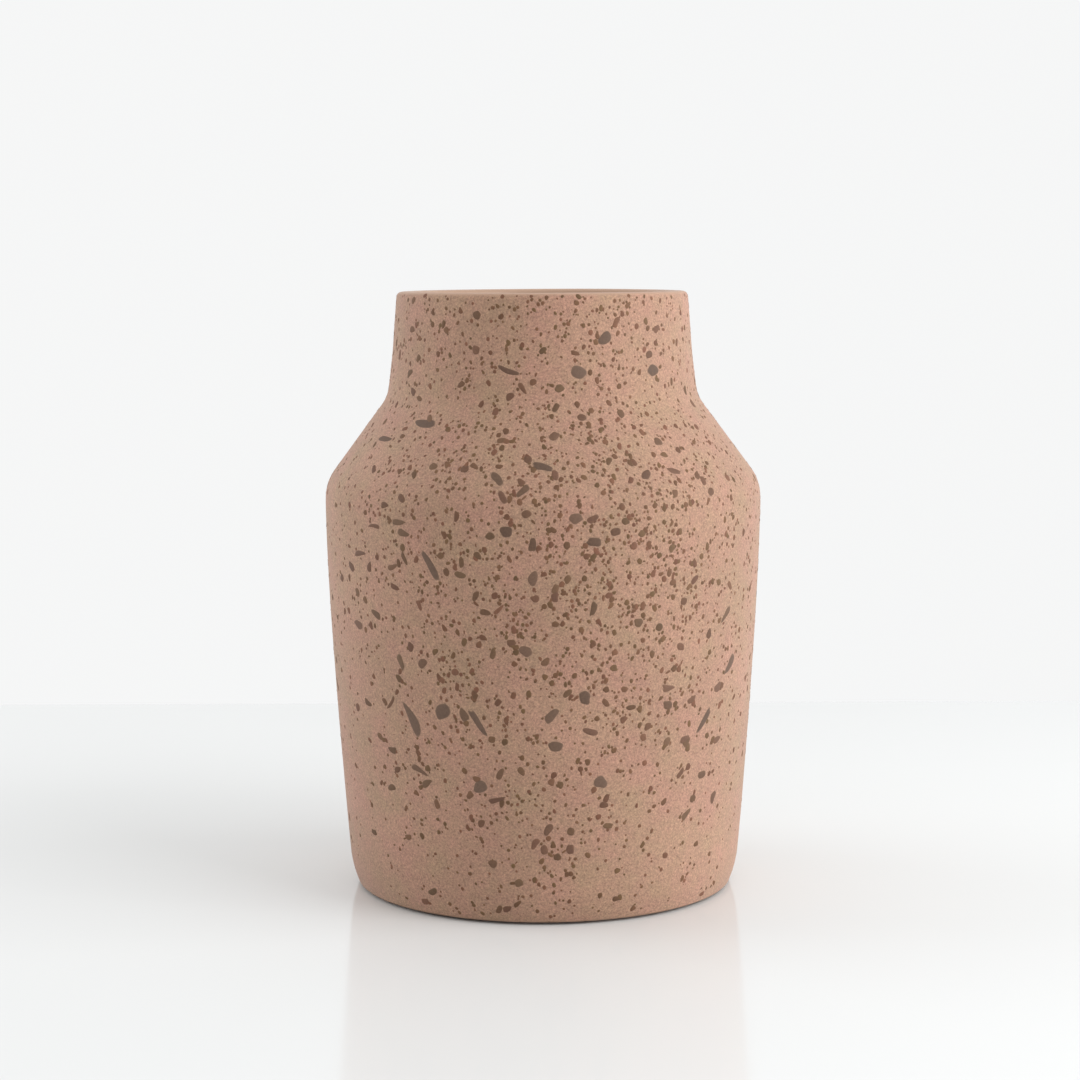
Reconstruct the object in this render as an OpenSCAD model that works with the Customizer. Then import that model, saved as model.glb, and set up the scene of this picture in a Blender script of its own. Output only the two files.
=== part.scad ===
// Speckled stoneware vase: a tapered round body, a conical shoulder and a wide, slightly waisted neck.
// Millimetres. +Z is up, and the origin is the middle of the base, on the table.

/* [Body] */
// Height from the table to the rim
height = 200; // [196:1:210]
// Outer diameter at the widest point
body_d = 146; // [142:1:150]
// Height of the widest point above the table
widest_z = 128; // [116:1:128]
// Outer diameter that the wall's curve reaches at the table, before the foot's bevel
foot_d = 130; // [124:1:134]
// How the wall bows out: 1 is a straight cone, 2 a parabola
bow_power = 1.4; // [1.2:0.1:2]

/* [Shoulder] */
// Height at which the wall and the shoulder would meet, before rounding
shoulder_z = 136.5; // [136:0.5:139]
// Rounding radius of the shoulder's outer corner
shoulder_round = 15; // [8:1:16]

/* [Neck] */
// Height at which the shoulder and the neck would meet, before rounding
neck_z = 165; // [162:0.5:167]
// Outer diameter at that height
neck_d = 103.8; // [102:0.2:106]
// Rounding radius of the hollow corner at the foot of the neck
neck_round = 11; // [8:1:14]
// Height of the neck's waist
waist_z = 180; // [178:1:184]
// Outer diameter at the waist
waist_d = 100.2; // [99:0.2:101]
// Radius of the neck's hollow curve through the waist
waist_round = 90; // [60:5:110]
// Outer diameter at the rim
mouth_d = 97.2; // [96:0.2:99]
// Rounding radius of the lip's two edges
lip_round = 1.6; // [1.2:0.1:2.4]

/* [Wall] */
// Thickness of the fired clay wall
wall_t = 4.8; // [4.4:0.1:6]
// Thickness of the clay floor above the foot ring's underside
floor_t = 7; // [6:0.5:9]
// Rounding radius where the floor meets the wall inside
floor_round = 9; // [6:1:12]
// Thickness of the matte slip on the outside
slip_t = 0.4; // [0.3:0.05:0.5]
// Thickness of the liner glaze on the inside
liner_t = 0.4; // [0.3:0.05:0.5]

/* [Foot] */
// How far the bevel cuts in at the bottom of the wall
bevel_in = 2; // [1:0.1:2.4]
// Height of the bevel
bevel_h = 10; // [7:1:12]
// How the bevel eases into the wall: 1 is straight, and more is rounder
bevel_power = 1.8; // [1.4:0.1:2.4]
// Height of the bare clay left between the slip and the foot ring's underside
bare_h = 0.6; // [0.4:0.1:1]
// Width of the flat foot ring
ring_w = 13; // [12:0.5:16]
// Depth of the hollow turned inside the foot ring
recess_h = 1.6; // [1:0.1:2.5]

/* [Pads] */
// Thickness of each pad, which is the gap between the foot ring and the table
pad_t = 0.8; // [0.6:0.1:1.2]
// Diameter of each pad
pad_d = 9; // [8:0.5:10]

/* [Splatter] */
// How far a drop stands out of the slip
drop_h = 0.25; // [0.15:0.05:0.35]
// Size of the drops, as a part of their usual size
drop_scale = 1; // [0.6:0.05:1.2]

/* [Hidden] */
PAD_NAMES = [for (i = [1:4]) str("foot_pad_", i)];

$fn = 128;
wall_points = 16;               // steps along the bowed wall
arc_step = 6;                   // degrees between the points of a rounded corner
recess_round = 1.2;             // rounding radius of the recess's two corners
foot_edge = 0.6;                // rounding radius of the foot ring's outer edge
dome_steps = 5;                 // steps from a drop's edge to its top

floor_z = pad_t + floor_t;
clay_top_z = height - slip_t;
rim_r = mouth_d / 2;
crest_r = rim_r - (slip_t + wall_t + liner_t) / 2;

// Outer radius of the bowed wall at height z, without the bevel.
function wall_r(z) =
    body_d / 2 - (body_d - foot_d) / 2 * pow((widest_z - z) / widest_z, bow_power);

// How far the bevel cuts into the wall at height z.
function bevel(z) = bevel_in * pow(max(0, 1 - (z - pad_t) / bevel_h), bevel_power);

// Heights from a level up to the widest point, closer together near the bottom.
function wall_heights(low) =
    [for (i = [0:wall_points]) low + (widest_z - low) * pow(i / wall_points, 1.6)];

function reversed(list) = [for (i = [len(list) - 1:-1:0]) list[i]];

// Unit normal on the left of the step from a to b: towards the axis, where the step climbs.
function left_normal(a, b) =
    let (step = [b[0] - a[0], b[1] - a[1]]) [-step[1], step[0]] / norm(step);

// Positive where two normals turn to the left, negative where they turn to the right.
function turn_side(n1, n2) = sign(n1[0] * n2[1] - n1[1] * n2[0]);

// A path is a list of [radius, height, rounding radius]. This is the path t further to its left:
// the rounding of a left turn shrinks by t, and that of a right turn grows.
function moved(path, t) = [
    for (i = [0:len(path) - 1])
        let (
            last = len(path) - 1,
            n1 = left_normal(path[max(i - 1, 0)], path[max(i, 1)]),
            n2 = left_normal(path[min(i, last - 1)], path[min(i + 1, last)]),
            shift = t * (n1 + n2) / (1 + n1 * n2),
            round_r = path[i][2] == 0 ? 0 : path[i][2] - t * turn_side(n1, n2)
        )
        [path[i][0] + shift[0], path[i][1] + shift[1], round_r]
];

// The arc that rounds the corner b between a and c.
function corner(a, b, c) =
    let (
        n1 = left_normal(a, b),
        n2 = left_normal(b, c),
        side = turn_side(n1, n2),
        turn = acos(n1 * n2),
        start = [b[0], b[1]] - b[2] * tan(turn / 2) * [n1[1], -n1[0]],
        centre = start + side * b[2] * n1,
        spoke = start - centre,
        steps = max(2, ceil(turn / arc_step))
    )
    [
        for (k = [0:steps])
            let (angle = side * turn * k / steps)
            centre + [
                spoke[0] * cos(angle) - spoke[1] * sin(angle),
                spoke[0] * sin(angle) + spoke[1] * cos(angle)
            ]
    ];

// A path as plain points, with its corners rounded.
function rounded(path) = [
    for (i = [0:len(path) - 1])
        each path[i][2] == 0
            ? [[path[i][0], path[i][1]]]
            : corner(path[i - 1], path[i], path[i + 1])
];

// The largest drops: degrees to the right of the front, height as a part of the whole, and diameter.
// The same drops lie on the back, half a turn away.
drops = [
    [-25, 0.96, 3.1], [23, 0.93, 4.4], [13, 0.875, 4.8], [44, 0.875, 4.4], [-12, 0.875, 3.6],
    [-42, 0.79, 5.4], [3, 0.78, 3.4], [-57, 0.77, 4], [0, 0.73, 4.2], [-12, 0.715, 3.8],
    [8, 0.655, 4], [-9, 0.635, 4], [13, 0.615, 3.8], [-29, 0.575, 5.2], [-2, 0.56, 3.9],
    [-56, 0.47, 3.8], [-4, 0.445, 3.9], [11, 0.37, 4.3], [58, 0.4, 4.8], [-27, 0.345, 5.5],
    [2, 0.345, 4.1], [-36, 0.33, 6.2], [47, 0.315, 4.7], [3, 0.295, 4.2], [15, 0.235, 4.4],
    [-17, 0.225, 4.6], [42, 0.165, 3.2], [-33, 0.045, 3]
];

upper_path = [
    [body_d / 2, shoulder_z, shoulder_round],
    [neck_d / 2, neck_z, neck_round],
    [waist_d / 2, waist_z, waist_round]
];

// The slip's outer surface, from the foot up to the lip's crest.
outer_path = concat(
    [for (z = wall_heights(pad_t + bare_h)) [wall_r(z) - bevel(z), z, 0]],
    upper_path,
    [[rim_r, height, lip_round], [crest_r, height, 0]]
);

// The clay's outer surface, from the middle of its underside up to the crest.
clay_side = moved(outer_path, slip_t);
foot_r = clay_side[0][0] - foot_edge / 2;
ring_r = foot_r - ring_w;
clay_outer = concat(
    [
        [0, pad_t + recess_h, 0],
        [ring_r - recess_h, pad_t + recess_h, recess_round],
        [ring_r, pad_t, recess_round],
        [foot_r, pad_t, foot_edge]
    ],
    clay_side
);

// The clay's inner surface, from the middle of the floor up to the crest.
inner_side = moved(
    concat(
        [for (z = wall_heights(floor_z + floor_round)) [wall_r(z), z, 0]],
        upper_path,
        [[rim_r, height, 0]]
    ),
    slip_t + wall_t
);
clay_inner = concat(
    [[0, floor_z, 0], [wall_r(floor_z) - slip_t - wall_t, floor_z, floor_round]],
    [for (i = [0:len(inner_side) - 2]) inner_side[i]],
    [[rim_r - slip_t - wall_t, clay_top_z, lip_round - liner_t], [crest_r, clay_top_z, 0]]
);
slip_outline = rounded(outer_path);

// A ring-shaped or bowl-shaped solid between two paths that climb side by side.
module spun(low_path, high_path) {
    rotate_extrude()
        polygon(concat(rounded(low_path), reversed(rounded(high_path))));
}

module clay_body() {
    color("#b08a72")
        spun(clay_outer, clay_inner);
}

module outer_slip() {
    color("#c09478")
        spun(outer_path, moved(outer_path, slip_t));
}

module liner_glaze() {
    color("#8c6b57")
        spun(clay_inner, moved(clay_inner, liner_t));
}

// A round drop, d wide: a low dome whose flat side lies on the slip.
module drop(turn, z, d) {
    i = max([for (k = [0:len(slip_outline) - 2]) if (slip_outline[k][1] <= z) k]);
    low = slip_outline[i];
    high = slip_outline[i + 1];
    r = low[0] + (high[0] - low[0]) * (z - low[1]) / (high[1] - low[1]);
    lean = atan2(low[0] - high[0], high[1] - low[1]);
    dome = [for (k = [0:dome_steps]) let (a = 90 * k / dome_steps) [d / 2 * cos(a), drop_h * sin(a)]];
    rotate([0, 0, turn])
        translate([r, 0, z])
            rotate([0, 90 - lean, 0])
                rotate_extrude($fn = 48)
                    polygon(concat([[0, 0]], dome));
}

module splatter_drops() {
    color("#6e5443")
        for (side = [-90, 90], d = drops)
            drop(side + d[0], height * d[1], drop_scale * d[2]);
}

module foot_pad(number) {
    color("#4a4644")
        rotate([0, 0, 90 * number - 45])
            translate([foot_r - ring_w / 2, 0, 0])
                cylinder(h = pad_t, d = pad_d);
}

clay_body();
outer_slip();
liner_glaze();
splatter_drops();
for (i = [1:len(PAD_NAMES)])
    foot_pad(i);
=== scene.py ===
"""Speckled stoneware vase: slip-coated outside, glazed inside, with raised dark splatter.

Metres, in the CAD model's own frame: +Z up, the base's middle at the origin, the front towards -Y.
"""
import math

import bpy
import numpy as np
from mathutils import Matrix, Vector


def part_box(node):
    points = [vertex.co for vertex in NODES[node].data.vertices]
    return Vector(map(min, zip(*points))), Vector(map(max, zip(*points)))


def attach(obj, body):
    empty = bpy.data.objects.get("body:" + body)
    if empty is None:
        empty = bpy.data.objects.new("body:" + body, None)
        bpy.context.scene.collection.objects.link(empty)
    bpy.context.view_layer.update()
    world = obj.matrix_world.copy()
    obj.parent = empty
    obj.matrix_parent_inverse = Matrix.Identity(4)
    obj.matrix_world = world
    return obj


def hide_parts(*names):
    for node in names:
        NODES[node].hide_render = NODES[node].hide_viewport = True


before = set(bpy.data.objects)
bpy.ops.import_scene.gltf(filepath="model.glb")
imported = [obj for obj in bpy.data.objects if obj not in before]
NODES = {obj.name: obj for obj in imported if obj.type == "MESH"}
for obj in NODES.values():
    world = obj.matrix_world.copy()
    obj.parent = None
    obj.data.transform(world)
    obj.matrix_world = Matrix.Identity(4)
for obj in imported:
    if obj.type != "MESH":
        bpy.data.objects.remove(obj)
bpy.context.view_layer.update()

MM = 0.001
SLIP_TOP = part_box("outer_slip")[1]
HEIGHT = SLIP_TOP[2]
BODY_R = SLIP_TOP[0]

# The two turned skins, outside and inside
LEANS = 0.2  # part of a face's normal that has to point one way for the face to count as facing it
DECIMALS = 5  # decimals of a metre that tell two points of an outline apart
FINE_STEP = 0.25 * MM  # spacing of the points that an outline is looked up from
SMOOTHINGS = 24  # passes that blend the CAD outline's corners
SEGMENTS = 288  # steps round the axis
ROW = 1.4 * MM  # spacing of the rows of points
LIP_ROW = 0.3 * MM  # and their spacing near the lip, where the outline turns sharply
LIP = 8 * MM  # how far from the lip's crest the closer rows start
HIDDEN_ROW = 2.4 * MM  # spacing of the rows on the hidden side
SLIP_DEPTH = 0.3 * MM  # how far a skin's hidden side lies under the side that shows
HUB = 2 * MM  # radius of the caps that close the middle of the inner skin's floor
DIP = 0.09 * MM  # how far the hand-finished surface lies under the true turned one, on average
DIP_WAVE = 0.03 * MM  # how much each unit of waves adds to that
SHARP = math.radians(50)  # edges that fold more than this are kept sharp

# The splatter's largest marks: degrees to the right of the front, height, length and width in mm,
# and the lean of the long way in degrees, where more than 0 rises to the right.
MARKS = [
    (-25, 193, 3, 3, 0), (-25, 182, 3, 3, 0), (-12.5, 175.5, 7.5, 1.8, -21), (-7, 170, 4.6, 1.5, -55),
    (-11.5, 167.5, 3.2, 2.4, 40), (-30.5, 171, 3.2, 1.8, 35), (-58.5, 188, 3.5, 2.2, 0),
    (-58, 174, 4, 2, 25), (-54.5, 168, 3.5, 2.4, -20), (-50, 166, 3.3, 1.6, -20),
    (13, 175, 5.6, 4.2, -20), (6, 170, 3.4, 2.6, 0), (23.5, 185.5, 5.5, 3.6, 40),
    (12, 181, 3.2, 1.5, -10), (44.5, 175, 5.5, 3.6, 8), (43, 180, 3.5, 2.4, 30), (4.5, 164, 3.6, 2, 60),
    (13, 161, 3.3, 2.7, 0), (3.5, 155.5, 3.9, 3, 60), (-11.5, 157, 2.4, 2.4, 0), (-11, 154, 4.8, 2, 5),
    (-12, 152, 2.4, 2, 90), (-12, 146.5, 2.6, 1.8, 0), (-12, 143, 6, 2.6, -50),
    (-10, 137.5, 4.6, 2.2, -55), (-5, 139.5, 5.2, 2.4, 50), (0, 146.5, 7.2, 2.6, -15),
    (37, 153, 3.3, 3.2, 0), (37, 149, 3, 2, 0), (28.5, 143.5, 4.5, 2.8, 45), (23.5, 142, 3, 1.8, 60),
    (38, 144, 5.5, 2, -20), (48, 137, 3.5, 2.6, 30), (-42, 158.5, 10, 3, -3), (-40.5, 160, 4, 2, -60),
    (-57, 153, 8.5, 2, 0), (-31.5, 146, 3.2, 2.8, 0), (-19, 146.5, 3.4, 1.8, -40),
    (-53.5, 144, 4, 1.8, -45), (-38, 136, 3.6, 2.4, -35), (-43.5, 133.5, 3.5, 2, 0),
    (-4, 132.5, 3.6, 2.4, 20), (8, 131, 4.6, 3.4, 10), (18, 126.5, 3.7, 2.7, 5), (12.5, 123.5, 5, 3, -10),
    (-9, 127, 4.4, 3.6, 0), (-13, 125.5, 3.3, 2.4, 0), (-2.5, 123, 4.5, 2.6, 88),
    (-2.5, 112.5, 5.2, 2.9, 75), (6, 112, 3, 2.3, 70), (3, 109, 3.6, 2.2, 75), (-2, 106, 2.8, 2.6, 0),
    (-38.5, 128.5, 6, 1.8, 0), (-37, 125, 5, 2.2, -15), (-47.5, 126.5, 5.5, 1.4, 0),
    (-29, 115.5, 11.5, 2.4, -57), (-37, 117, 4.5, 1.6, -60), (-54, 117, 6.5, 1.8, 10),
    (-41, 114, 4.5, 1.8, 20), (-58.5, 112, 4.5, 2.6, -30), (-50, 113, 3.5, 2.5, 80),
    (-21, 113, 4, 2.2, -15), (-20.5, 117, 3.6, 1.8, 90), (-40.5, 107.5, 4.2, 1.8, -15),
    (-17, 106.5, 3.6, 2, 60), (-14.5, 101.5, 3.8, 2, -5), (-11, 102.5, 4.5, 1.3, 45),
    (-48, 98, 5, 2.4, -20), (-56.5, 93.5, 5.5, 2.6, -20), (-8, 92, 3.2, 2.4, 0),
    (-4.5, 89.5, 4.8, 3.2, -35), (-39.5, 83.5, 5.5, 2.2, -65), (-32.5, 84, 4, 3, 40),
    (-23, 82, 2.8, 2.4, 0), (-39.5, 77.5, 4.4, 1.8, -35), (12.5, 102.5, 5, 2, 75),
    (24.5, 97.5, 3.3, 3, 0), (30.5, 95.5, 3, 2.6, 0), (3, 98, 2.6, 2, 0), (37.5, 88.5, 3.6, 2.4, -30),
    (18, 83.5, 2.8, 2.2, 0), (0.5, 86, 3.2, 2.4, 45), (10.5, 74.5, 5, 3.6, -60), (2, 69, 6, 2.8, 45),
    (16, 72.5, 3.2, 2, -45), (21, 76.5, 2.6, 2, 0), (6, 76, 3.5, 2, 40), (34, 75.5, 5.5, 2, 0),
    (34, 70, 4, 3, -15), (23, 70.5, 3.4, 1.8, 10), (53, 73, 4.4, 3, 35), (58.5, 79.5, 8, 3, 45),
    (55, 96.5, 7, 2, 40), (41.5, 109.5, 4, 2, 40), (38, 103, 2.8, 2.8, 0), (-27, 69, 6.6, 4.6, 50),
    (-36.5, 65.5, 12, 3.4, -58), (-21, 68.5, 5, 2.6, -60), (-17, 66, 10.5, 2, -57),
    (-13.5, 61, 2.8, 2.2, 0), (-54, 68, 4.4, 2, -20), (-60, 65.5, 3, 3, 0), (-44, 69.5, 6, 1.3, 50),
    (-48, 57, 5, 2, -15), (-35.5, 54.5, 7, 2, -75), (-35, 49, 7, 1.8, -22), (-33, 45, 4.5, 2.2, 30),
    (-17, 45.5, 5.2, 4, 15), (-20, 42.5, 3, 2.2, 55), (-12.5, 41.5, 6, 1.6, 15), (-11.5, 50, 4, 2.2, 60),
    (-17, 33.5, 2.9, 2.4, 80), (-43, 48, 3.4, 1.9, 30), (-46, 41.5, 4, 2.2, 15), (-30, 38.5, 3.6, 2, -75),
    (-40.5, 26, 3, 2, 5), (-56, 24.5, 3.6, 2, 0), (-33, 9, 4, 2.2, 35), (-36.5, 5, 3.3, 2.4, 10),
    (-7, 14.5, 3.3, 2.6, 10), (-10.5, 5.5, 3.4, 2.1, 35), (-7.5, 7.5, 3.4, 1.4, 45),
    (3, 59, 4.8, 3.6, -10), (12, 63.5, 5, 2.3, -15), (15, 47, 4.4, 4.4, 0), (47.5, 63, 10, 2.2, 48),
    (40.5, 58, 4.6, 2.4, 10), (54, 55.5, 4.5, 2.2, 15), (48, 45, 4.2, 2.7, -5), (39.5, 47, 4.6, 1.7, 45),
    (16, 39.5, 3.2, 2.2, 0), (42.5, 33, 5.2, 2, 38), (54, 36.5, 4.6, 2.8, 60), (7, 25.5, 3.8, 2.5, -80),
    (1, 32, 4.5, 2.4, 65), (0, 25.5, 3.2, 2.8, 90), (-2.5, 27.5, 4, 2.2, 60), (35.5, 20.5, 2.6, 2, 0),
    (42.5, 11.5, 2.5, 1.6, 60),
]
# Where the splatter is thicker or thinner: degrees to the right, height and radius in mm, and gain.
CROWDS = [
    (30, 116, 30, 10), (-10, 140, 14, 4), (-5, 26, 10, 7), (-20, 95, 18, 3), (8, 180, 14, -4),
    (-20, 65, 14, 3), (-48, 85, 14, -4), (30, 28, 18, -5), (-30, 25, 16, -4), (-45, 178, 12, -1),
    (-45, 128, 18, 4),
]
MARK_TURNS = (0, 180)  # the marks and the crowds lie on the front, and again on the back

# Random drops: how many are tried, the middle diameter, its spread, and the least and the most.
THROWN = (25500, 1.22 * MM, 0.33, 0.6 * MM, 3.0 * MM)
SPRAY = (9000, 0.84 * MM, 0.25, 0.5 * MM, 1.4 * MM)
MIST = (6000, 0.36 * MM, 0.3, 0.2 * MM, 0.6 * MM)
FIRST_Z, LAST_Z = 3 * MM, HEIGHT - 4 * MM  # beads and satellites stay between these heights
FOOT_GAP, LIP_GAP = 1.5 * MM, 3 * MM  # plain slip left along the foot and along the lip's crest
MARK_GAP = 0.5 * MM  # plain slip left round each mark
FAN_DEPTH = 25 * MM  # the streaks point back to a spot this far under the table
MIDDLE_TURN = math.radians(6)  # the splatter is thickest this far to the right of the front
RISE_TO = 0.45 * HEIGHT  # it gets thicker from the table up to this height
NECK_FROM, NECK_RISE = 0.72 * HEIGHT, 0.1 * HEIGHT  # and more even all round, over this rise from there
CLUMPS = 24  # waves that make the crowding uneven
CLUMP_LENGTH = (8 * MM, 30 * MM)  # the shortest and the longest of those waves

# The pieces of splatter: each takes the drops down to its least diameter. Each ring of points is a
# part of the drop's reach, and each has as many points as the drop has spokes.
LEAST = {"large": 1.8 * MM, "medium": 1.15 * MM, "small": 0.76 * MM, "fine": 0}
RINGS = {"large": (1, 0.84, 0.45), "medium": (1, 0.65), "small": (1, 0.55), "fine": (1,)}
SPOKES = {"large": 24, "medium": 14, "small": 10, "fine": 7}
WOBBLES = {2: 0.10, 3: 0.09, 4: 0.06, 5: 0.04}  # waves round a drop's outline, and how far each pushes it
RAGGED = 2.2 * MM  # diameter at which an outline wobbles by just that much
THIN = 0.03 * MM  # height that every drop has
SWELL = 0.028  # height that it gains, as a part of its diameter
THICK = 0.11 * MM  # the most height that a drop can have
SUNK = 0.03 * MM  # how far a drop's rim lies under the face of the slip


def outline(node, side):
    """(radius, height) along the side of a turned skin that shows, from its low end up to the lip.

    side is 1 where that side faces away from the axis, and -1 where it faces the axis. Each point
    is followed by the nearest one left. A side that faces the axis has a floor, from the hub out.
    """
    mesh = NODES[node].data
    found = set()
    for face in mesh.polygons:
        reach = max(math.hypot(face.center.x, face.center.y), MM)  # never 0, even on the axis
        outward = side * (face.normal.x * face.center.x + face.normal.y * face.center.y) / reach
        if outward > LEANS or (face.normal.z > LEANS and outward > -LEANS):
            for index in face.vertices:
                place = mesh.vertices[index].co
                radius = math.hypot(place.x, place.y)
                found.add((round(radius, DECIMALS), round(place.z, DECIMALS)))
    rest = sorted(found, key=lambda point: (point[1], point[0]))
    path = [rest.pop(0)]
    while rest:
        path.append(min(rest, key=lambda point: math.dist(point, path[-1])))
        rest.remove(path[-1])
    if side < 0:
        path.insert(0, (HUB, path[0][1]))
    return np.array(path)


def travelled(path):
    """The distance along a path at each of its points."""
    steps = np.hypot(*np.diff(path, axis=0).T)
    return np.concatenate([[0], np.cumsum(steps)])


class Skin:
    """A turned surface: a smooth outline with its normals, looked up by the distance along it."""

    def __init__(self, path, side):
        along = travelled(path)
        self.side = side
        self.length = along[-1]
        self.s = np.linspace(0, self.length, int(self.length / FINE_STEP) + 1)
        fine = np.stack([np.interp(self.s, along, path[:, k]) for k in (0, 1)], axis=1)
        for _ in range(SMOOTHINGS):
            fine[1:-1] = (fine[:-2] + 2 * fine[1:-1] + fine[2:]) / 4
        self.r, self.z = fine.T
        slope_r, slope_z = np.gradient(self.r), np.gradient(self.z)
        size = np.hypot(slope_r, slope_z)
        self.normal_r, self.normal_z = side * slope_z / size, -side * slope_r / size

    def at(self, values, s):
        """One of the skin's values, such as its radius, at a distance along the outline."""
        return np.interp(s, self.s, values)

    def s_at(self, z):
        """The distance along the outline at height z, on an outline that only climbs."""
        return np.interp(z, self.z, self.s)

    def points(self, angle, s, lift):
        """Points at an angle about the axis and a distance along the outline, lifted off the skin."""
        z = self.at(self.z, s)
        lift = lift - dip(angle, z)
        r = np.minimum(self.at(self.r, s) + lift * self.at(self.normal_r, s), BODY_R)
        z = z + lift * self.at(self.normal_z, s)
        return np.stack([r * np.cos(angle), r * np.sin(angle), z], axis=-1)


def dip(angle, z):
    """How far the hand-finished surface lies under the true turned one, never above it."""
    waves = (
        np.sin(2 * angle + 40 * z)
        + 0.7 * np.sin(3 * angle - 65 * z + 1)
        + 0.5 * np.sin(5 * angle + 110 * z + 2)
        + 0.4 * np.sin(190 * z + 0.5 * np.sin(angle))
    )
    return DIP + DIP_WAVE * waves


def mesh_object(name, points, faces, material, attributes=None):
    """A smooth-shaded mesh object, with its sharp edges kept."""
    mesh = bpy.data.meshes.new(name)
    mesh.from_pydata(points.reshape(-1, 3).tolist(), [], faces)
    for key, values in (attributes or {}).items():
        layer = mesh.attributes.new(key, "FLOAT", "POINT")
        layer.data.foreach_set("value", np.asarray(values, dtype=np.float32).ravel())
    mesh.materials.append(material)
    mesh.validate()
    mesh.shade_smooth()
    mesh.set_sharp_from_angle(angle=SHARP)
    thing = bpy.data.objects.new(name, mesh)
    bpy.context.collection.objects.link(thing)
    return thing


def turned(name, skin, material):
    """A closed thin shell turned about the axis, with the skin on the side that shows.

    The outer skin is a ring that the lip and the foot close. The inner one has a floor, whose two
    sides both end at the hub, so a cap closes each.
    """
    rows = np.concatenate([
        np.arange(0, skin.length - LIP, ROW),
        np.arange(skin.length - LIP, skin.length, LIP_ROW),
        [skin.length],
    ])
    hidden_rows = np.linspace(skin.length, 0, round(skin.length / HIDDEN_ROW))
    angles = skin.side * np.linspace(0, 2 * math.pi, SEGMENTS, endpoint=False)
    front = skin.points(angles[None, :], rows[:, None], 0)
    back = skin.points(angles[None, :], hidden_rows[:, None], -SLIP_DEPTH)
    points = np.concatenate([front, back])
    count = len(points)
    capped = skin.side < 0
    faces = []
    for row in range(count - capped):
        low, high = row * SEGMENTS, (row + 1) % count * SEGMENTS
        for k in range(SEGMENTS):
            after = (k + 1) % SEGMENTS
            faces.append((low + k, low + after, high + after, high + k))
    if capped:
        faces.append(tuple(reversed(range(SEGMENTS))))
        faces.append(tuple(range((count - 1) * SEGMENTS, count * SEGMENTS)))
    return mesh_object(name, points, faces, material)


def ride_as(piece):
    """The piece, fixed to the vase."""
    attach(piece, "root")
    return piece


# Materials: each shader node is handled as a (node, output) pair, which later nodes link from.

TAN = (0.378, 0.240, 0.155, 1)
PINK = (0.417, 0.230, 0.166, 1)
# Paler colour painted near the lip: a painted highlight on the outer crest, where it faces the light from
# above, and painted light on the inner wall just under the rim.
PAINTED_LIP_LIGHT = (0.47, 0.30, 0.21, 1)
MIX_FACTOR, MIX_FIRST, MIX_SECOND, MIX_RESULT = 0, 6, 7, 2  # a Mix node's sockets for colours


def new_material(name):
    material = bpy.data.materials.new(name)
    material.use_nodes = True
    return material, material.node_tree, material.node_tree.nodes["Principled BSDF"]


def put(tree, made, key, value):
    """Links an input from a (node, output) pair, or sets it to a constant."""
    if isinstance(value, tuple) and isinstance(value[0], bpy.types.Node):
        tree.links.new(value[0].outputs[value[1]], made.inputs[key])
    else:
        made.inputs[key].default_value = value


def add(tree, kind, output, inputs=None, **settings):
    """A new shader node with one of its outputs. Its inputs are constants or such pairs."""
    made = tree.nodes.new("ShaderNode" + kind)
    for key, value in settings.items():
        setattr(made, key, value)
    for key, value in (inputs or {}).items():
        put(tree, made, key, value)
    return made, output


def rgb(red, green, blue):
    return (red, green, blue, 1)


def noise(tree, where, scale, detail, roughness):
    inputs = {"Vector": where, "Scale": scale, "Detail": detail, "Roughness": roughness}
    return add(tree, "TexNoise", "Fac", inputs)


def ramp(tree, value, low, high, to_low=0.0, to_high=1.0):
    """A value clamped to a range and stretched to another."""
    inputs = {"Value": value, "From Min": low, "From Max": high, "To Min": to_low, "To Max": to_high}
    return add(tree, "MapRange", "Result", inputs, clamp=True)


def mixed(tree, factor, first, second, blend="MIX"):
    """A mix of two colours."""
    inputs = {MIX_FACTOR: factor, MIX_FIRST: first, MIX_SECOND: second}
    return add(tree, "Mix", MIX_RESULT, inputs, data_type="RGBA", blend_type=blend)


def shaded(tree, colour, value):
    """A colour made darker or paler by a value, where 1 leaves it as it is."""
    grey = add(tree, "CombineColor", 0, {"Red": value, "Green": value, "Blue": value})
    return mixed(tree, 1.0, colour, grey, "MULTIPLY")


def bump(tree, height, depth, strength, below=None):
    inputs = {"Height": height, "Distance": depth, "Strength": strength}
    if below:
        inputs["Normal"] = below
    return add(tree, "Bump", "Normal", inputs)


def connect(tree, shader, colour, rough, relief):
    """Links a material's colour, roughness and relief to its shader."""
    put(tree, shader, "Base Color", colour)
    put(tree, shader, "Roughness", rough)
    put(tree, shader, "Normal", relief)


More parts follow.
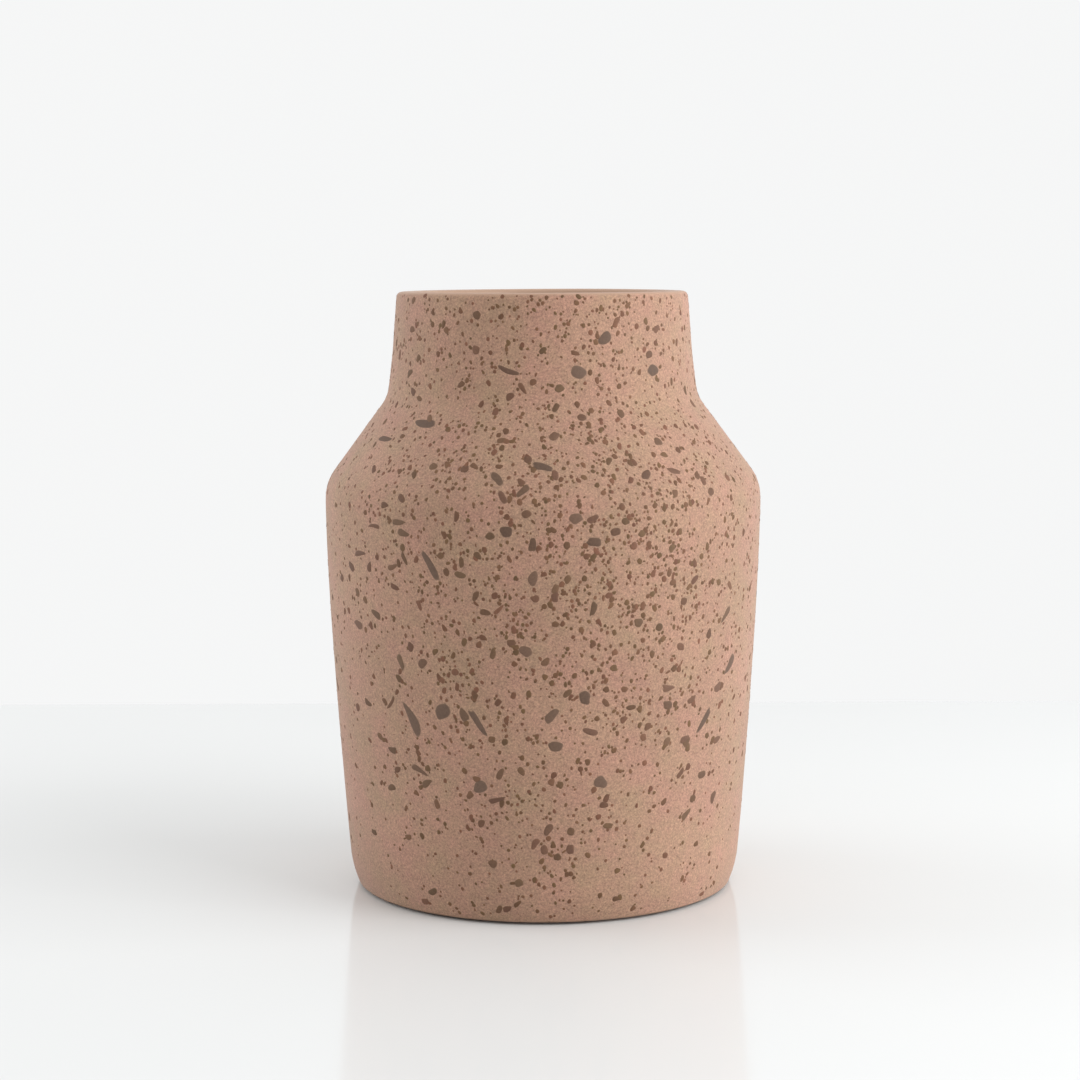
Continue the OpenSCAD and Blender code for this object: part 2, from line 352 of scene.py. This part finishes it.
def slip_material():
    """Matte pinkish-tan slip: sandy grain, faint pink and olive patches, and a painted highlight on the
    lip's crest.
    """
    material, tree, shader = new_material("matte_slip")
    where = add(tree, "TexCoord", "Object")
    patches = noise(tree, where, 70, 6, 0.65)
    clouds = noise(tree, where, 25, 2, 0.5)
    sand = noise(tree, where, 1500, 3, 0.65)
    grains = noise(tree, where, 3200, 1, 0.5)
    colour = mixed(tree, ramp(tree, patches, 0.35, 0.65), TAN, PINK)
    colour = shaded(tree, colour, ramp(tree, clouds, 0.3, 0.7, 0.94, 1.06))
    colour = shaded(tree, colour, ramp(tree, sand, 0.3, 0.7, 0.67, 1.31))
    colour = shaded(tree, colour, ramp(tree, grains, 0.3, 0.7, 0.86, 1.14))
    z = add(tree, "SeparateXYZ", "Z", {"Vector": where})
    # Painted highlight: the lip's crest is painted paler, where it faces the light from above.
    painted_light_share = ramp(tree, z, HEIGHT - 1.2 * MM, HEIGHT - 0.4 * MM, 0, 0.8)
    colour = mixed(tree, painted_light_share, colour, PAINTED_LIP_LIGHT)
    rough = ramp(tree, sand, 0.3, 0.7, 0.72, 0.9)
    shader.inputs["Specular IOR Level"].default_value = 0.3
    shader.inputs["Sheen Weight"].default_value = 0.14
    shader.inputs["Sheen Roughness"].default_value = 0.5
    coarse = bump(tree, noise(tree, where, 420, 2, 0.5), 0.06 * MM, 0.5)
    fine = bump(tree, sand, 0.05 * MM, 0.7, below=coarse)
    connect(tree, shader, colour, rough, fine)
    return material


def splatter_material():
    """Dark drops: brown where small, greyer where large, and thin at the rim, where the slip shows."""
    material, tree, shader = new_material("splatter")
    where = add(tree, "TexCoord", "Object")
    size = add(tree, "Attribute", "Fac", attribute_name="size")
    rim = add(tree, "Attribute", "Fac", attribute_name="rim")
    shade = add(tree, "Attribute", "Fac", attribute_name="shade")
    tint = add(tree, "Attribute", "Fac", attribute_name="tint")
    colour = mixed(tree, tint, rgb(0.146, 0.082, 0.038), rgb(0.186, 0.080, 0.048))
    colour = mixed(tree, ramp(tree, size, 2.0, 4.5), colour, rgb(0.142, 0.087, 0.061))
    colour = shaded(tree, colour, shade)
    faint = ramp(tree, size, 0.3, 0.8, 0.5, 0.0)
    colour = mixed(tree, faint, colour, TAN)
    thin = ramp(tree, rim, 0.0, 1.0, 0.0, 0.7)
    colour = mixed(tree, thin, colour, TAN)
    sand = noise(tree, where, 1600, 2, 0.6)
    colour = shaded(tree, colour, ramp(tree, sand, 0.3, 0.7, 0.86, 1.14))
    rough = ramp(tree, sand, 0.3, 0.7, 0.6, 0.78)
    shader.inputs["Specular IOR Level"].default_value = 0.3
    fine = bump(tree, sand, 0.03 * MM, 0.6)
    connect(tree, shader, colour, rough, fine)
    return material


def liner_material():
    """Satin brown glaze with faint turning rings; near the lip it is painted paler, as painted light on
    the shaded inner wall.
    """
    material, tree, shader = new_material("liner_glaze")
    where = add(tree, "TexCoord", "Object")
    clouds = noise(tree, where, 60, 3, 0.55)
    fleck = noise(tree, where, 900, 2, 0.6)
    colour = mixed(tree, ramp(tree, clouds, 0.3, 0.7), rgb(0.25, 0.155, 0.11), rgb(0.33, 0.215, 0.16))
    colour = shaded(tree, colour, ramp(tree, fleck, 0.35, 0.65, 0.85, 1.1))
    z = add(tree, "SeparateXYZ", "Z", {"Vector": where})
    # Painted light: the inner wall just under the rim is painted paler, to lift its shade.
    painted_light_share = ramp(tree, z, HEIGHT - 5 * MM, HEIGHT - 2 * MM)
    colour = mixed(tree, painted_light_share, colour, PAINTED_LIP_LIGHT)
    rough = ramp(tree, fleck, 0.3, 0.7, 0.34, 0.5)
    rings = add(
        tree, "TexWave", "Fac", {"Vector": where, "Scale": 35, "Distortion": 1.5, "Detail": 2},
        wave_type="BANDS", bands_direction="Z",
    )
    soft = bump(tree, rings, 0.15 * MM, 0.5)
    fine = bump(tree, fleck, 0.03 * MM, 0.5, below=soft)
    connect(tree, shader, colour, rough, fine)
    return material


def clay_material():
    """Bare fired clay: warm brown with dark grog and small pits."""
    material, tree, shader = new_material("fired_clay")
    where = add(tree, "TexCoord", "Object")
    clouds = noise(tree, where, 90, 3, 0.6)
    colour = mixed(tree, ramp(tree, clouds, 0.3, 0.7), rgb(0.36, 0.225, 0.155), rgb(0.44, 0.29, 0.21))
    grog = add(tree, "TexVoronoi", "Distance", {"Vector": where, "Scale": 700, "Randomness": 1.0})
    fleck = ramp(tree, grog, 0.12, 0.3, 0.55, 1.0)
    colour = shaded(tree, colour, fleck)
    sand = noise(tree, where, 1400, 3, 0.7)
    rough = ramp(tree, sand, 0.3, 0.7, 0.82, 0.96)
    shader.inputs["Specular IOR Level"].default_value = 0.25
    pits = bump(tree, fleck, 0.08 * MM, 0.6)
    fine = bump(tree, sand, 0.07 * MM, 0.8, below=pits)
    connect(tree, shader, colour, rough, fine)
    return material


def pad_material():
    """Dark foam rubber with fine open cells."""
    material, tree, shader = new_material("pad_rubber")
    where = add(tree, "TexCoord", "Object")
    cells = add(tree, "TexVoronoi", "Distance", {"Vector": where, "Scale": 2200, "Randomness": 1.0})
    colour = mixed(tree, ramp(tree, cells, 0.1, 0.5), rgb(0.035, 0.033, 0.031), rgb(0.085, 0.08, 0.075))
    rough = ramp(tree, cells, 0.1, 0.5, 0.95, 0.8)
    connect(tree, shader, colour, rough, bump(tree, cells, 0.08 * MM, 0.8))
    return material


# Splatter


def from_front(degrees, turn):
    """The angle about the axis of a place so many degrees to the right of the front.

    turn is 0 for the place itself, and 180 for its match on the back.
    """
    return np.radians(degrees + turn - 90)


def wrapped(angle):
    """An angle brought between minus and plus half a turn."""
    return (angle + math.pi) % (2 * math.pi) - math.pi


class Drops:
    """Drops of splatter: where each lies on the slip, its size, lean and the look of its outline."""

    def __init__(self, rng, angle, z, length, width, lean, taper):
        count = len(angle)
        self.angle, self.z = np.asarray(angle, float), np.asarray(z, float)
        self.length, self.width = np.asarray(length, float), np.asarray(width, float)
        self.lean, self.taper = np.asarray(lean, float), np.asarray(taper, float)
        ragged = np.clip(self.diameter() / RAGGED, 0.3, 1.1)  # the smaller, the rounder
        push = rng.uniform(-1, 1, (count, len(WOBBLES))) * np.array(list(WOBBLES.values()))
        self.wobble = ragged[:, None] * push
        self.phase = rng.uniform(0, 2 * math.pi, (count, len(WOBBLES)))
        self.bend = rng.uniform(-0.25, 0.25, count)  # sideways bow, for the length
        self.shade = rng.uniform(0.84, 1.16, count)  # darker or paler
        self.tint = rng.uniform(0, 1, count)  # yellower or redder brown

    def picked(self, mask):
        """The drops that a mask picks."""
        some = object.__new__(Drops)
        for key, values in self.__dict__.items():
            setattr(some, key, values[mask])
        return some

    def diameter(self):
        """Each drop's diameter, were it round."""
        return np.sqrt(self.length * self.width)


def joined(*groups):
    """Several groups of drops as one."""
    whole = object.__new__(Drops)
    for key in groups[0].__dict__:
        setattr(whole, key, np.concatenate([getattr(group, key) for group in groups]))
    return whole


def drop_outline(drops, turn):
    """How far each drop's edge lies from its middle at each turn, where a plain oval is 1.

    The wobbles make it irregular, and a long drop is blunter than an oval.
    """
    shape = np.ones((len(drops.z), len(turn)))
    for k, waves in enumerate(WOBBLES):
        shape += drops.wobble[:, k, None] * np.cos(waves * turn + drops.phase[:, k, None])
    square = 2 + 0.8 * np.clip(drops.length / drops.width - 1.2, 0, 1)[:, None]
    return shape * (np.abs(np.cos(turn)) ** square + np.abs(np.sin(turn)) ** square) ** (-1 / square)


def drops_mesh(kind, drops, skin, material):
    """All the drops as low domes with irregular outlines, their rims just under the slip's face."""
    spokes = SPOKES[kind]
    turn = np.linspace(0, 2 * math.pi, spokes, endpoint=False)
    share = np.array(RINGS[kind])
    rings = len(share)
    reach = drop_outline(drops, turn)[:, None, :] * share[None, :, None]
    reach = np.concatenate([reach.reshape(len(drops.z), -1), np.zeros((len(drops.z), 1))], axis=1)
    around = np.concatenate([np.tile(turn, rings), [0]])
    level = np.concatenate([np.repeat(share, spokes), [0]])
    rim = level == 1
    u = reach * np.cos(around) * drops.length[:, None] / 2
    v = reach * np.sin(around) * drops.width[:, None] / 2
    v *= 1 + drops.taper[:, None] * reach * np.cos(around)
    v += drops.bend[:, None] * u**2 / drops.length[:, None]
    lean = drops.lean[:, None]
    across = u * np.cos(lean) - v * np.sin(lean)
    up = u * np.sin(lean) + v * np.cos(lean)
    height = np.clip(THIN + SWELL * drops.diameter(), 0, THICK)[:, None]
    lift = height * np.sqrt(1 - level**3) - SUNK * rim
    s = skin.s_at(drops.z)[:, None] + up
    angle = drops.angle[:, None] + across / skin.at(skin.r, s)
    points = skin.points(angle, s, lift)
    per_drop = rings * spokes + 1
    faces = drop_faces(len(drops.z), spokes, rings, per_drop)
    flat = np.ones(per_drop)
    attributes = {
        "size": drops.diameter()[:, None] / MM * flat,
        "shade": drops.shade[:, None] * flat,
        "tint": drops.tint[:, None] * flat,
        "rim": np.broadcast_to(rim, (len(drops.z), per_drop)),
    }
    return mesh_object("splatter_" + kind, points, faces, material, attributes)


def drop_faces(count, spokes, rings, per_drop):
    """Quads between one drop's rings and a fan at its middle, repeated for every drop."""
    one = []
    for k in range(spokes):
        after = (k + 1) % spokes
        for ring in range(rings - 1):
            low, high = ring * spokes, (ring + 1) * spokes
            one.append((low + k, low + after, high + after, high + k))
        last = (rings - 1) * spokes
        one.append((last + k, last + after, per_drop - 1))
    starts = range(0, count * per_drop, per_drop)
    return [tuple(i + start for i in face) for start in starts for face in one]


def marked_drops(rng):
    """The listed largest marks."""
    degrees, z, length, width, lean = np.array(MARKS, float).T
    groups = []
    for turn in MARK_TURNS:
        taper = rng.uniform(-0.5, 0.5, len(z)) * np.clip(length / width - 1.2, 0, 1)
        groups.append(Drops(
            rng, from_front(degrees, turn), z * MM, length * MM, width * MM, np.radians(lean), taper,
        ))
    return joined(*groups)


def crowding(rng, angle, z):
    """How thickly the splatter lies, from 0 to 1: most in front and behind, and well above the foot."""
    facing = np.sin(angle - MIDDLE_TURN) ** 2
    rise = np.clip(z / RISE_TO, 0, 1)
    neck = np.clip((z - NECK_FROM) / NECK_RISE, 0, 1)
    base = 0.03 + 0.2 * rise + 0.2 * neck
    spread = base + (1 - base) * facing ** (1.5 - 0.5 * rise)
    clumps = np.zeros(len(z))
    for _ in range(CLUMPS):
        wave, way = 2 * math.pi / rng.uniform(*CLUMP_LENGTH), rng.uniform(0, math.pi)
        around = round(wave * math.cos(way) * BODY_R)
        clumps += np.sin(around * angle + wave * math.sin(way) * z + rng.uniform(0, 2 * math.pi))
    for degrees, middle, radius, gain in CROWDS:
        for turn in MARK_TURNS:
            apart = wrapped(angle - from_front(degrees, turn))
            reach = np.hypot(apart * BODY_R, z - middle * MM) / (radius * MM)
            clumps += gain * np.exp(-reach**2)
    return (0.5 + 0.5 * rise) * spread * np.clip(0.5 + 0.042 * clumps, 0.06, 1)


def thrown_drops(rng, skin, tries, median, spread, smallest, largest):
    """Random drops, their long way fanning out from a spot under the front and one under the back."""
    angle = rng.uniform(-math.pi, math.pi, tries)
    s = rng.uniform(FOOT_GAP, skin.length - LIP_GAP, tries)
    z = skin.at(skin.z, s)
    keep = rng.uniform(0, 1, tries) < crowding(rng, angle, z) * skin.at(skin.r, s) / BODY_R
    angle, z = angle[keep], z[keep]
    count = len(z)
    diameter = np.clip(median * np.exp(spread * rng.normal(0, 1, count)), smallest, largest)
    stretch = 1 + np.abs(rng.normal(0, 0.06 + 0.18 * diameter / MM, count))
    stretch = np.clip(stretch, 1, 3.4)
    off_middle = (np.degrees(angle) + 180) % 180 - 90  # from the nearer of the front and the back
    fan = np.arctan2(z + FAN_DEPTH, np.radians(off_middle) * BODY_R)
    lean = fan + rng.normal(0, 0.5, count)
    taper = rng.uniform(-0.6, 0.6, count) * np.clip(stretch - 1, 0, 1)
    return Drops(rng, angle, z, diameter * np.sqrt(stretch), diameter / np.sqrt(stretch), lean, taper)


def clear_of(marks, drops, skin):
    """The drops that lie clear of the marks, so that each mark keeps its own outline."""
    apart = wrapped(drops.angle[:, None] - marks.angle[None, :])
    across = apart * skin.at(skin.r, skin.s_at(drops.z))[:, None]
    up = drops.z[:, None] - marks.z[None, :]
    lean = marks.lean[None, :]
    along = (across * np.cos(lean) + up * np.sin(lean)) / (marks.length / 2 + MARK_GAP)
    aside = (up * np.cos(lean) - across * np.sin(lean)) / (marks.width / 2 + MARK_GAP)
    return drops.picked((along**2 + aside**2 > 1).all(axis=1))


def beaded(rng, drops, skin, share):
    """A share of the long drops become three drops run together along a thin neck."""
    long = (drops.length > 2 * drops.width) & (rng.uniform(0, 1, len(drops.z)) < share)
    some = drops.picked(long)
    count = len(some.z)
    groups = [drops.picked(~long)]
    for place in (-0.33, 0, 0.33):
        gap = some.length * (place + rng.uniform(-0.07, 0.07, count))
        aside = some.width * rng.uniform(-0.2, 0.2, count)
        across = gap * np.cos(some.lean) - aside * np.sin(some.lean)
        up = gap * np.sin(some.lean) + aside * np.cos(some.lean)
        angle = some.angle + across / skin.at(skin.r, skin.s_at(some.z))
        z = np.clip(some.z + up, FIRST_Z, LAST_Z)
        width = some.width * rng.uniform(0.6, 1.15, count)
        length = width * rng.uniform(1.1, 1.7, count)
        lean = some.lean + rng.normal(0, 0.35, count)
        groups.append(Drops(rng, angle, z, length, width, lean, rng.uniform(-0.4, 0.4, count)))
    some.width = some.width * rng.uniform(0.35, 0.6, count)
    some.length = some.length * 0.9
    return joined(*groups, some)


def satellites(rng, parents, skin, share):
    """Small drops beside or running into a share of the larger ones."""
    some = parents.picked(rng.uniform(0, 1, len(parents.z)) < share)
    count = len(some.z)
    way = some.lean + rng.normal(0, 0.5, count) + math.pi * rng.integers(0, 2, count)
    gap = some.length * rng.uniform(0.45, 1.1, count)
    angle = some.angle + gap * np.cos(way) / skin.at(skin.r, skin.s_at(some.z))
    z = np.clip(some.z + gap * np.sin(way), FIRST_Z, LAST_Z)
    diameter = some.diameter() * rng.uniform(0.3, 0.7, count)
    stretch = rng.uniform(1, 1.8, count)
    return Drops(rng, angle, z, diameter * stretch, diameter / stretch, way, rng.uniform(-0.5, 0.5, count))


def all_drops(skin):
    """Every drop of splatter: the marks, the thrown drops with their satellites, and a fine mist."""
    rng = np.random.default_rng(11)
    marks = marked_drops(rng)
    thrown = joined(thrown_drops(rng, skin, *THROWN), thrown_drops(rng, skin, *SPRAY))
    thrown = beaded(rng, clear_of(marks, thrown, skin), skin, share=0.3)
    parents = joined(marks, thrown.picked(thrown.diameter() > 1.4 * MM))
    near = satellites(rng, parents, skin, share=0.25)
    mist = clear_of(marks, thrown_drops(rng, skin, *MIST), skin)
    return joined(beaded(rng, marks, skin, share=0.15), thrown, near, mist)


def splatter(skin, material):
    """All the splatter, in one piece for each kind of drop, from the largest to the smallest."""
    drops = all_drops(skin)
    size = drops.diameter()
    pieces = []
    most = np.inf
    for kind, least in LEAST.items():
        pieces.append(drops_mesh(kind, drops.picked((size >= least) & (size < most)), skin, material))
        most = least
    return pieces


def vase():
    """The visual pieces that stand for CAD nodes, and the materials of the nodes that stay."""
    outer = Skin(outline("outer_slip", 1), 1)
    inner = Skin(outline("liner_glaze", -1), -1)
    slip = ride_as(turned("slip_skin", outer, slip_material()))
    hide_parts("outer_slip")
    liner = ride_as(turned("liner_skin", inner, liner_material()))
    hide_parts("liner_glaze")
    pieces = [ride_as(piece) for piece in splatter(outer, splatter_material())]
    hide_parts("splatter_drops")
    NODES["clay_body"].material_slots[0].material = clay_material()
    rubber = pad_material()
    for name, node in NODES.items():
        if name.startswith("foot_pad"):
            node.material_slots[0].material = rubber


# Studio

TABLE_HALF_WIDTH, TABLE_FRONT, TABLE_BACK, TABLE_THICK = 1.6, -1.5, 0.339, 0.03
EYE = (0, -0.85, 0.2123)
EYE_DOWN, EYE_ROLL, EYE_TURN = math.radians(90 - 6.45), math.radians(0.22), math.radians(0.045)


def look_at(thing, aim):
    way = Vector(aim) - Vector(thing.location)
    thing.rotation_euler = way.to_track_quat("-Z", "Y").to_euler()


def area_light(name, place, size, power):
    """A white rectangular light that faces the middle of the vase."""
    data = bpy.data.lights.new(name, "AREA")
    data.shape = "RECTANGLE"
    data.size, data.size_y = size
    data.energy = power
    lamp = bpy.data.objects.new(name, data)
    lamp.location = place
    look_at(lamp, (0, 0, HEIGHT / 2))
    bpy.context.collection.objects.link(lamp)


def table_top():
    """A wide pale table under the vase, ending a little behind it."""
    half = TABLE_HALF_WIDTH
    corners = [(x, y, z) for z in (-TABLE_THICK, 0) for x, y in
               ((-half, TABLE_FRONT), (half, TABLE_FRONT), (half, TABLE_BACK), (-half, TABLE_BACK))]
    faces = [(3, 2, 1, 0), (4, 5, 6, 7), (0, 1, 5, 4), (1, 2, 6, 5), (2, 3, 7, 6), (3, 0, 4, 7)]
    material, _, shader = new_material("table")
    shader.inputs["Base Color"].default_value = rgb(0.78, 0.792, 0.792)
    shader.inputs["Roughness"].default_value = 0.12
    shader.inputs["Specular IOR Level"].default_value = 0.2
    table = mesh_object("table", np.array(corners, float), faces, material)


def white_room():
    """An even white surrounding, a little brighter behind the vase than in front of it."""
    world = bpy.data.worlds.new("white_room")
    bpy.context.scene.world = world
    world.use_nodes = True
    tree = world.node_tree
    way = add(tree, "TexCoord", "Generated")
    backward = add(tree, "SeparateXYZ", "Y", {"Vector": way})
    wall = tree.nodes["Background"]
    wall.inputs["Color"].default_value = rgb(0.995, 1, 1)
    put(tree, wall, "Strength", ramp(tree, backward, -0.2, 0.9, 0.7, 0.925))


def camera():
    """The view from the front, from just above the rim's height and slightly down."""
    data = bpy.data.cameras.new("camera")
    data.lens = 84.5
    data.sensor_width = 36
    eye = bpy.data.objects.new("camera", data)
    eye.location = EYE
    eye.rotation_euler = (EYE_DOWN, EYE_ROLL, EYE_TURN)
    bpy.context.collection.objects.link(eye)
    bpy.context.scene.camera = eye


def studio():
    white_room()
    table_top()
    area_light("key", (0.80, -0.62, 0.92), (0.6, 0.6), 5.6)
    area_light("side", (1.20, -0.15, 0.35), (0.7, 0.6), 8.5)
    area_light("fill", (-1.15, 0.25, 0.50), (0.8, 0.9), 5.3)
    camera()
    bpy.context.scene.view_settings.view_transform = "Standard"


vase()
studio()
